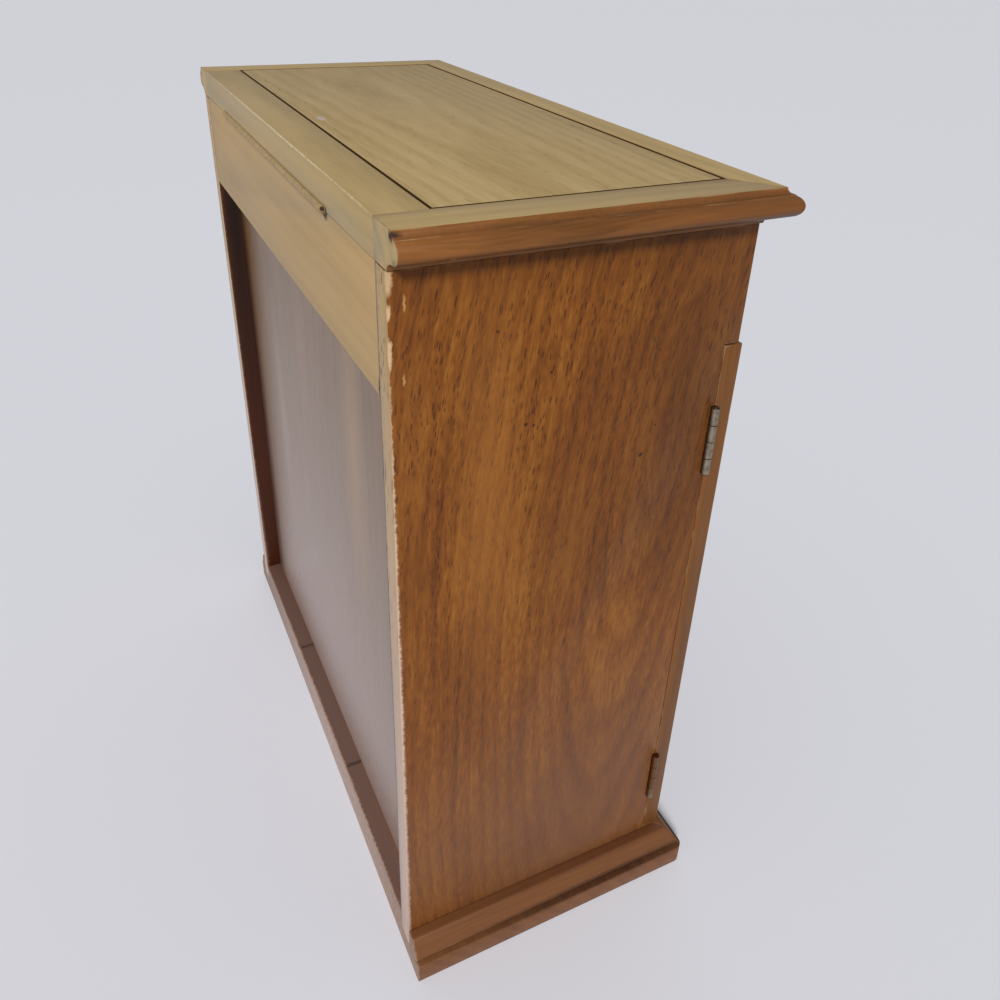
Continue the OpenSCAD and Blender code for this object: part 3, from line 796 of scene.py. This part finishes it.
def finish_piece(obj, material, node):
    """Gives a finished piece its material and its body, and hides the node that it stands for."""
    obj.data.materials.clear()
    obj.data.materials.append(material)
    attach(obj, BODIES[node])
    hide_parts(node)


# Corners closer than this are one, and faces that turn less than this are one flat.
MERGE = 0.002 * MM
FLAT_ANGLE = math.radians(0.5)
SMOOTH_ANGLE = math.radians(36)


def shaped_copy(node, ease, angle=30):
    """A merged copy of a CAD solid, its arrises past the angle eased by a small round."""
    obj = bpy.data.objects.new(f"{node}_piece", frame["nodes"][node].data.copy())
    bpy.context.collection.objects.link(obj)
    select_only(obj)
    bpy.ops.object.mode_set(mode="EDIT")
    bpy.ops.mesh.select_all(action="SELECT")
    bpy.ops.mesh.remove_doubles(threshold=MERGE)
    bpy.ops.mesh.dissolve_limited(angle_limit=FLAT_ANGLE)
    bpy.ops.object.mode_set(mode="OBJECT")
    if ease:
        bevel = obj.modifiers.new("ease", "BEVEL")
        bevel.width = ease
        bevel.segments = 2
        bevel.limit_method = "ANGLE"
        bevel.angle_limit = math.radians(angle)
        bevel.use_clamp_overlap = True
        bpy.ops.object.modifier_apply(modifier=bevel.name)
    bpy.ops.object.shade_smooth_by_angle(angle=SMOOTH_ANGLE)
    return obj


def dress(nodes, material, ease, angle=30):
    """Replaces CAD nodes by eased copies of one material."""
    for node in nodes:
        finish_piece(shaped_copy(node, ease, angle), material, node)


class CHEST_OT_sides(bpy.types.Operator):
    """Dresses the two side panels in stained oak veneer"""

    bl_idname = "chest.sides"
    bl_label = "Side Panels"

    def execute(self, context):
        ease = context.scene.chest_sizes.board_ease
        dress(["side_panel_left"], side_veneer(-1), ease)
        dress(["side_panel_right"], side_veneer(1), ease)
        return {"FINISHED"}


def notch_shade():
    """Painted shade of a small notch, which the back rail and the lid share at their joint."""
    return (-73.6, REAR_Y, 292.2), (3.2, 3, 2.2), linear("#20120A")


class CHEST_OT_back(bpy.types.Operator):
    """Dresses the back rail and the recessed back panel"""

    bl_idname = "chest.back"
    bl_label = "Back"

    def execute(self, context):
        tones = context.scene.chest_colours
        sizes = context.scene.chest_sizes
        chip = ((-118.6, REAR_Y, 257), (0.8, 1.2, 3.4), linear("#20120A"))
        # Pale planed hardwood: even and nearly matt, with hardly any figure.
        rail = solid_wood(
            "pale_planed_hardwood",
            tones.rail,
            "X",
            roughness=0.5,
            wear=0.3,
            pores=0.1,
            figure=0.15,
            marks=[notch_shade(), chip],
        )
        dress(["back_rail"], rail, sizes.fine_ease)
        reflection_shade_and_streaks = [
            # Painted reflection of the pale floor greys it towards the foot, painted shade darkens
            # it along the sides, and it is lighter in a few streaks.
            ((-10, 57, 0), (270, 6, 215), linear("#A69592"), 0.9),
            ((120, 57, 160), (17, 6, 340), linear("#2A1008"), 1),
            ((-119, 57, 150), (4, 6, 300), linear("#4A3020"), 0.5),
            ((60, 57, 150), (9, 6, 70), linear("#A48E80"), 0.5),
            ((10, 57, 190), (12, 6, 60), linear("#8E6A50"), 0.5),
            ((-60, 57, 200), (16, 6, 70), linear("#A8845C"), 0.5),
        ]
        # Lacquered thin plywood: straight fine grain under a soft shine.
        ply = solid_wood(
            "lacquered_plywood",
            tones.ply,
            "Z",
            roughness=0.3,
            wear=0,
            pores=0.2,
            figure=0.3,
            gloss=0.45,
            marks=reflection_shade_and_streaks,
        )
        dress(["back_panel"], ply, 0)
        return {"FINISHED"}


class CHEST_OT_base(bpy.types.Operator):
    """Dresses the plinth, its board and the floor of the case"""

    bl_idname = "chest.base"
    bl_label = "Base"

    def execute(self, context):
        tones = context.scene.chest_colours
        sizes = context.scene.chest_sizes
        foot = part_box("plinth_front")[0].z / MM
        scuffs = [
            ((-135.2, 7.4, 17), (1.2, 2.4, 0.9), linear("#B08060")),
            ((-134.5, -54, 17.5), (1.5, 2, 1.2), linear("#B08060")),
        ]
        ledge = ((0, 61, 19), (400, 9, 3), linear("#66504A"), 0.95)
        worn = [
            # Painted reflection of the pale floor makes the rear faces pale.
            ((-10, 65.4, 8), (190, 1.2, 40), linear("#BEA89E"), 0.9),
            # Painted shade in the quirks below and above the moulding.
            ((0, -20, foot + 0.9), (1000, 78, 2.4), linear("#2A120A"), 1),
            ((0, -20, 20), (1000, 76, 2.2), linear("#5E3828"), 0.9),
        ]
        # Stained hardwood, lacquered: dark and warm, with pale rubbed arrises.
        across = solid_wood(
            "stained_hardwood_plinth_across", tones.plinth, "X", marks=[*scuffs, ledge, *worn]
        )
        deep = solid_wood(
            "stained_hardwood_plinth_deep", tones.plinth, "Y", marks=[*scuffs, *worn]
        )
        dress(["base_board", "case_floor", "plinth_front"], across, sizes.fine_ease)
        dress(["plinth_left", "plinth_right"], deep, sizes.fine_ease)
        return {"FINISHED"}


# Arrises flatter than this angle, in degrees, belong to the moulding's arcs and stay.
MOULDING_ANGLE = 40
# The corners in the top skin of the stringing are raised, nearly level with the veneer.
STRINGING_SKIN = 0.05 * MM
STRINGING_RISE = 0.3 * MM


class CHEST_OT_lid(bpy.types.Operator):
    """Dresses the lid: mitred moulded borders, core, veneer and dark stringing"""

    bl_idname = "chest.lid"
    bl_label = "Lid"

    def execute(self, context):
        tones = context.scene.chest_colours
        sizes = context.scene.chest_sizes
        # Stained oak moulding, lacquered: strong figure, its flat top in a paler painted sheen.
        across = solid_wood("stained_oak_across", tones.border, "X", figure=1.1, faded=tones.lid)
        # The same oak, all over in the paler tone of its painted sheen; its upper arris paler
        # still, from wear and a painted highlight.
        worn = ((0, 65.2, 304.2), (150, 0.7, 0.7), linear("#CDB999"))
        rear = solid_wood(
            "oak_in_painted_sheen", tones.lid, "X", wear=0, figure=0.3, marks=[notch_shade(), worn]
        )
        marks = [
            # A dark patch at the rear corner and one pale dot.
            ((-131.2, 64.6, 302.6), (1.6, 2.6, 1.4), linear("#2A160C")),
            ((-133.6, 50.3, 296), (1.2, 0.8, 0.7), linear("#D0AE90")),
        ]
        for side in (-1, 1):
            marks += [
                # Painted shade darkens the hollow under the top arris and the cove under the nose;
                # the moulding is also darker towards the front.
                ((side * 131.6, 0, 301.6), (3, 120, 1.7), linear("#4E3420"), 0.8),
                ((side * 134, -70, 299), (6, 95, 9), linear("#553218"), 0.6),
                ((side * 133.6, 0, 296), (3, 120, 1.8), linear("#3E2412"), 0.8),
            ]
        # Its flat faces that look up or back, too, take the paler painted sheen.
        deep = solid_wood(
            "stained_oak_deep", tones.border, "Y", figure=1.1, faded=tones.lid, marks=marks
        )
        arris = sizes.fine_ease / 2
        dress(["lid_border_front", "lid_core"], across, arris, MOULDING_ANGLE)
        dress(["lid_border_rear"], rear, arris, MOULDING_ANGLE)
        dress(["lid_border_left", "lid_border_right"], deep, arris, MOULDING_ANGLE)
        dress(["lid_veneer"], lid_veneer(), sizes.fine_ease)

        # Ebonised stringing: a thin, dull, dark line.
        dark = solid_wood(
            "ebonised_hardwood", linear("#3A2812"), "X", roughness=0.8, wear=0, gloss=0.05
        )
        line = shaped_copy("lid_stringing", 0)
        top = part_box("lid_stringing")[1].z
        for corner in line.data.vertices:
            if corner.co.z > top - STRINGING_SKIN:
                corner.co.z += STRINGING_RISE
        finish_piece(line, dark, "lid_stringing")
        return {"FINISHED"}


# The raised field of a door panel slopes away at a low angle, in degrees.
FIELD_ANGLE = 8


class CHEST_OT_doors(bpy.types.Operator):
    """Dresses the two framed doors and their fielded panels"""

    bl_idname = "chest.doors"
    bl_label = "Doors"

    def execute(self, context):
        tones = context.scene.chest_colours
        sizes = context.scene.chest_sizes
        # Stained hardwood frames: darker than the moulding, straight grain, satin.
        darker = tuple(0.8 * c for c in tones.border)
        upright = solid_wood("stained_hardwood_stiles", darker, "Z")
        across = solid_wood("stained_hardwood_rails", darker, "X")
        for side, sign in (("left", -1), ("right", 1)):
            dress([f"door_{side}_stiles"], upright, sizes.frame_ease)
            dress([f"door_{side}_rails"], across, sizes.frame_ease)
            # Stained oak panels, sawn near the heart: arched figure with open pores.
            panel = stained_wood(
                f"lacquered_oak_panel_{side}",
                (tones.oak_dark, tones.oak, tones.oak_light),
                linear("#3A1D0C"),
                pore=(0.6, 6),
                heart=(sign * 0.06, -0.02, 0.12),
                lean=(3, 0),
                ring=5,
            )
            dress([f"door_{side}_panel"], panel, sizes.board_ease, FIELD_ANGLE)
        return {"FINISHED"}


# The drawers are numbered from the lowest.
DRAWERS = range(1, 5)


class CHEST_OT_inside(bpy.types.Operator):
    """Dresses the fascia, the top compartment, the divider, the shelves and the drawers"""

    bl_idname = "chest.inside"
    bl_label = "Inside"

    def execute(self, context):
        tones = context.scene.chest_colours
        sizes = context.scene.chest_sizes
        # Stained hardwood, lacquered satin: warm brown with straight grain.
        across = solid_wood("stained_hardwood_across", tones.border, "X")
        deep = solid_wood("stained_hardwood_deep", tones.border, "Y")
        upright = solid_wood("stained_hardwood_upright", tones.border, "Z")
        # Bare planed wood: pale, dry and matt.
        bare_across = solid_wood("bare_planed_wood", tones.raw, "X", roughness=0.6, pores=0.1)
        fronts = [f"drawer_front_{i}" for i in DRAWERS]
        boxes = [f"drawer_box_{i}" for i in DRAWERS]
        boards = ["front_fascia", "drawer_shelves", "hook_rail", "mirror_frame"]
        dress(boards, across, sizes.board_ease)
        dress(["tray_partitions"], deep, sizes.board_ease)
        dress(["bay_divider"], upright, sizes.board_ease)
        dress(fronts, across, sizes.frame_ease)
        dress(["tray_floor", *boxes], bare_across, sizes.fine_ease)
        return {"FINISHED"}


# A sheet of felt is cut into this many strips each way, and waves over this distance.
FELT_CUTS = 30
FELT_WAVE_LENGTH = 30 * MM
FELT_SMOOTH_ANGLE = math.radians(50)


def felt_sheet(name, node, centre, spread, turn):
    """One piece of felt cut to its place, slightly wavy, glued down on what it lines."""
    sizes = bpy.context.scene.chest_sizes
    bpy.ops.object.select_all(action="DESELECT")
    bpy.ops.mesh.primitive_plane_add(size=1, location=centre, rotation=turn)
    obj = bpy.context.object
    obj.name = name
    obj.scale = (spread[0], spread[1], 1)
    bpy.ops.object.transform_apply(location=True, rotation=True, scale=True)
    bpy.ops.object.mode_set(mode="EDIT")
    bpy.ops.mesh.subdivide(number_cuts=FELT_CUTS)
    bpy.ops.object.mode_set(mode="OBJECT")
    waves = bpy.data.textures.new(f"{name}_waves", "CLOUDS")
    waves.noise_scale = FELT_WAVE_LENGTH
    ripple = obj.modifiers.new("ripple", "DISPLACE")
    ripple.texture = waves
    ripple.strength = sizes.felt_wave
    ripple.mid_level = 0
    bpy.ops.object.modifier_apply(modifier=ripple.name)
    wall = obj.modifiers.new("thickness", "SOLIDIFY")
    wall.thickness = sizes.felt - sizes.felt_wave
    wall.offset = -1
    bpy.ops.object.modifier_apply(modifier=wall.name)
    bpy.ops.object.shade_smooth_by_angle(angle=FELT_SMOOTH_ANGLE)
    finish_piece(obj, bpy.data.materials.get("pressed_wool_felt") or wool_felt(), node)


def laid_felt(name, node, lift):
    """Felt laid flat over the place of a CAD lining, lifted by the height of its drawer."""
    sizes = bpy.context.scene.chest_sizes
    low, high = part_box(node)
    top = low.z + lift + sizes.felt - sizes.felt_wave
    felt_sheet(
        name,
        node,
        ((low.x + high.x) / 2, (low.y + high.y) / 2, top),
        (high.x - low.x, high.y - low.y),
        (0, 0, 0),
    )


class CHEST_OT_linings(bpy.types.Operator):
    """Lays the felt in the top compartment, the drawers and at the back of the left bay"""

    bl_idname = "chest.linings"
    bl_label = "Felt Linings"

    def execute(self, context):
        sizes = context.scene.chest_sizes
        laid_felt("tray_felt", "tray_lining", 0)
        low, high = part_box("bay_lining")
        middle = (low + high) / 2
        felt_sheet(
            "bay_felt",
            "bay_lining",
            (middle.x, high.y - sizes.felt + sizes.felt_wave, middle.z),
            (high.x - low.x, high.z - low.z),
            (math.pi / 2, 0, 0),
        )
        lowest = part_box("drawer_box_1")[0].z
        for i in DRAWERS:
            box = f"drawer_box_{i}"
            laid_felt(f"drawer_felt_{i}", "drawer_linings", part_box(box)[0].z - lowest)
        return {"FINISHED"}


class CHEST_OT_fittings(bpy.types.Operator):
    """Dresses hinges, screws, knobs, hooks, catch, staples and the mirror"""

    bl_idname = "chest.fittings"
    bl_label = "Fittings"

    def execute(self, context):
        tones = context.scene.chest_colours
        # Nickel-plated rolled steel: soft reflections and spots, and at the lower hinges brown is
        # painted in, a painted reflection of the wood round them.
        browned = [((x, -45, 62), (12, 12, 22), linear("#7A563A")) for x in (-FACE_X, FACE_X)]
        nickel = smooth_finish(
            "nickel_plated_steel", tones.nickel, 0.35, 0.6, 1.667, marks=browned
        )
        # Tan painted steel: even and half matt, hardly brighter than the rail.
        painted = smooth_finish("tan_painted_steel", tones.tan, 0.5, 0.8, 2, metallic=0.0)
        # Turned brass: bright and warm, a little darker in its hollows.
        brass = smooth_finish("turned_brass", tones.brass, 0.25, 0.7, 4)
        # Ground steel of the magnets: cool and grey.
        steel = smooth_finish("ground_steel", linear("#8A8C90"), 0.35, 0.8, 3.33)
        # Drawn wire, browned with age: dark, and without a shine.
        wire = smooth_finish("browned_wire", linear("#4E3A2E"), 0.6, 0.7, 1.667, metallic=0.0)
        # Moulded ABS: cream, smooth and half matt.
        plastic = smooth_finish("moulded_abs", linear("#D6CCBA"), 0.45, 0.93, 5, metallic=0.0)
        # Silvered glass: a clear reflection.
        glass = smooth_finish("silvered_glass", linear("#E6ECEA"), 0.02, 0.98, 33.3)
        pairs = (
            (nickel, ["butt_leaves_case", "butt_pins", "door_left_leaves", "door_right_leaves"]),
            (nickel, ["case_screws", "door_left_fittings", "door_right_fittings"]),
            (painted, ["hinge_leaf_case", "hinge_leaf_lid", "lid_screws"]),
            (wire, ["hinge_pin_lid"]),
            (brass, ["door_left_knob", "door_right_knob", "drawer_knobs", "necklace_hooks"]),
            (steel, ["catch_magnets"]),
            (wire, ["back_staples"]),
            (plastic, ["catch_body"]),
            (glass, ["mirror_glass"]),
        )
        for material, nodes in pairs:
            dress(nodes, material, 0)
        return {"FINISHED"}


# The camera stands behind the chest to its left, close to it. Its axes are unit vectors.
CAMERA_LENS = 31.581
CAMERA_SENSOR = 36
CAMERA_SHIFT = (-0.0045, -0.0839)
CAMERA_PLACE = Vector((-0.320414, 0.129669, 0.366957))
CAMERA_RIGHT = Vector((-0.43662, -0.89904, 0.03301))
CAMERA_UP = Vector((0.45337, -0.18819, 0.87123))

# One broad warm light from the rear left above, and an even pale sky.
KEY_TOWARDS = Vector((-0.64, 0.42, 0.6))
KEY_STRENGTH = 2.6
KEY_WIDTH = math.radians(12)
KEY_TONE = (1, 0.97, 0.93)
SKY_STRENGTH = 0.42
FLOOR_SIZE = 30


class CHEST_OT_stage(bpy.types.Operator):
    """Sets the pale floor, the soft lights and the camera"""

    bl_idname = "chest.stage"
    bl_label = "Stage"

    def execute(self, context):
        scene = context.scene
        bpy.ops.object.select_all(action="DESELECT")
        bpy.ops.mesh.primitive_plane_add(size=FLOOR_SIZE, location=(0, 0, 0))
        floor = context.object
        floor.name = "pale_floor"
        # Matt white paint with a cool cast, so that the wood reads warm.
        material, _, shader, _ = new_material("matt_white_paint")
        shader.inputs["Base Color"].default_value = rgba(linear("#E2E6F2"))
        shader.inputs["Roughness"].default_value = 0.6
        floor.data.materials.append(material)

        sun = bpy.data.objects.new("soft_key", bpy.data.lights.new("soft_key", "SUN"))
        sun.data.energy = KEY_STRENGTH
        sun.data.angle = KEY_WIDTH
        sun.data.color = KEY_TONE
        sun.rotation_euler = KEY_TOWARDS.to_track_quat("Z", "Y").to_euler()
        scene.collection.objects.link(sun)

        world = bpy.data.worlds.new("pale_sky")
        world.use_nodes = True
        world.node_tree.nodes.clear()
        sky = add_node(
            world.node_tree,
            "ShaderNodeBackground",
            {"Color": rgba(linear("#F0EEEA")), "Strength": SKY_STRENGTH},
        )
        add_node(world.node_tree, "ShaderNodeOutputWorld", {"Surface": sky.outputs[0]})
        scene.world = world

        lens = bpy.data.cameras.new("main_camera")
        lens.sensor_width = CAMERA_SENSOR
        lens.lens = CAMERA_LENS
        lens.shift_x, lens.shift_y = CAMERA_SHIFT
        lens.clip_start = 0.01
        camera = bpy.data.objects.new("main_camera", lens)
        scene.collection.objects.link(camera)
        axes = Matrix((CAMERA_RIGHT, CAMERA_UP, CAMERA_RIGHT.cross(CAMERA_UP))).transposed()
        camera.matrix_world = Matrix.Translation(CAMERA_PLACE) @ axes.to_4x4()
        scene.camera = camera
        scene.view_settings.view_transform = "Standard"
        return {"FINISHED"}


class CHEST_PT_panel(bpy.types.Panel):
    """Lists the chest's operators, sizes and colours in the sidebar"""

    bl_idname = "CHEST_PT_panel"
    bl_label = "Tabletop Chest"
    bl_space_type = "VIEW_3D"
    bl_region_type = "UI"
    bl_category = "Chest"

    def draw(self, context):
        for operator in OPERATORS:
            self.layout.operator(operator.bl_idname)
        for group in (context.scene.chest_sizes, context.scene.chest_colours):
            for key in group.bl_rna.properties.keys():
                if key not in ("rna_type", "name"):
                    self.layout.prop(group, key)


OPERATORS = (
    CHEST_OT_sides,
    CHEST_OT_back,
    CHEST_OT_base,
    CHEST_OT_lid,
    CHEST_OT_doors,
    CHEST_OT_inside,
    CHEST_OT_linings,
    CHEST_OT_fittings,
    CHEST_OT_stage,
)
CLASSES = (ChestSizes, ChestColours, *OPERATORS, CHEST_PT_panel)


def register():
    """Registers the classes and their properties."""
    for cls in CLASSES:
        bpy.utils.register_class(cls)
    bpy.types.Scene.chest_sizes = bpy.props.PointerProperty(type=ChestSizes)
    bpy.types.Scene.chest_colours = bpy.props.PointerProperty(type=ChestColours)


def unregister():
    """Takes away what register added."""
    del bpy.types.Scene.chest_colours
    del bpy.types.Scene.chest_sizes
    for cls in reversed(CLASSES):
        bpy.utils.unregister_class(cls)


def main():
    """Builds the chest and its stage."""
    register()
    bpy.ops.chest.sides()
    bpy.ops.chest.back()
    bpy.ops.chest.base()
    bpy.ops.chest.lid()
    bpy.ops.chest.doors()
    bpy.ops.chest.inside()
    bpy.ops.chest.linings()
    bpy.ops.chest.fittings()
    bpy.ops.chest.stage()


if __name__ == "__main__":
    main()
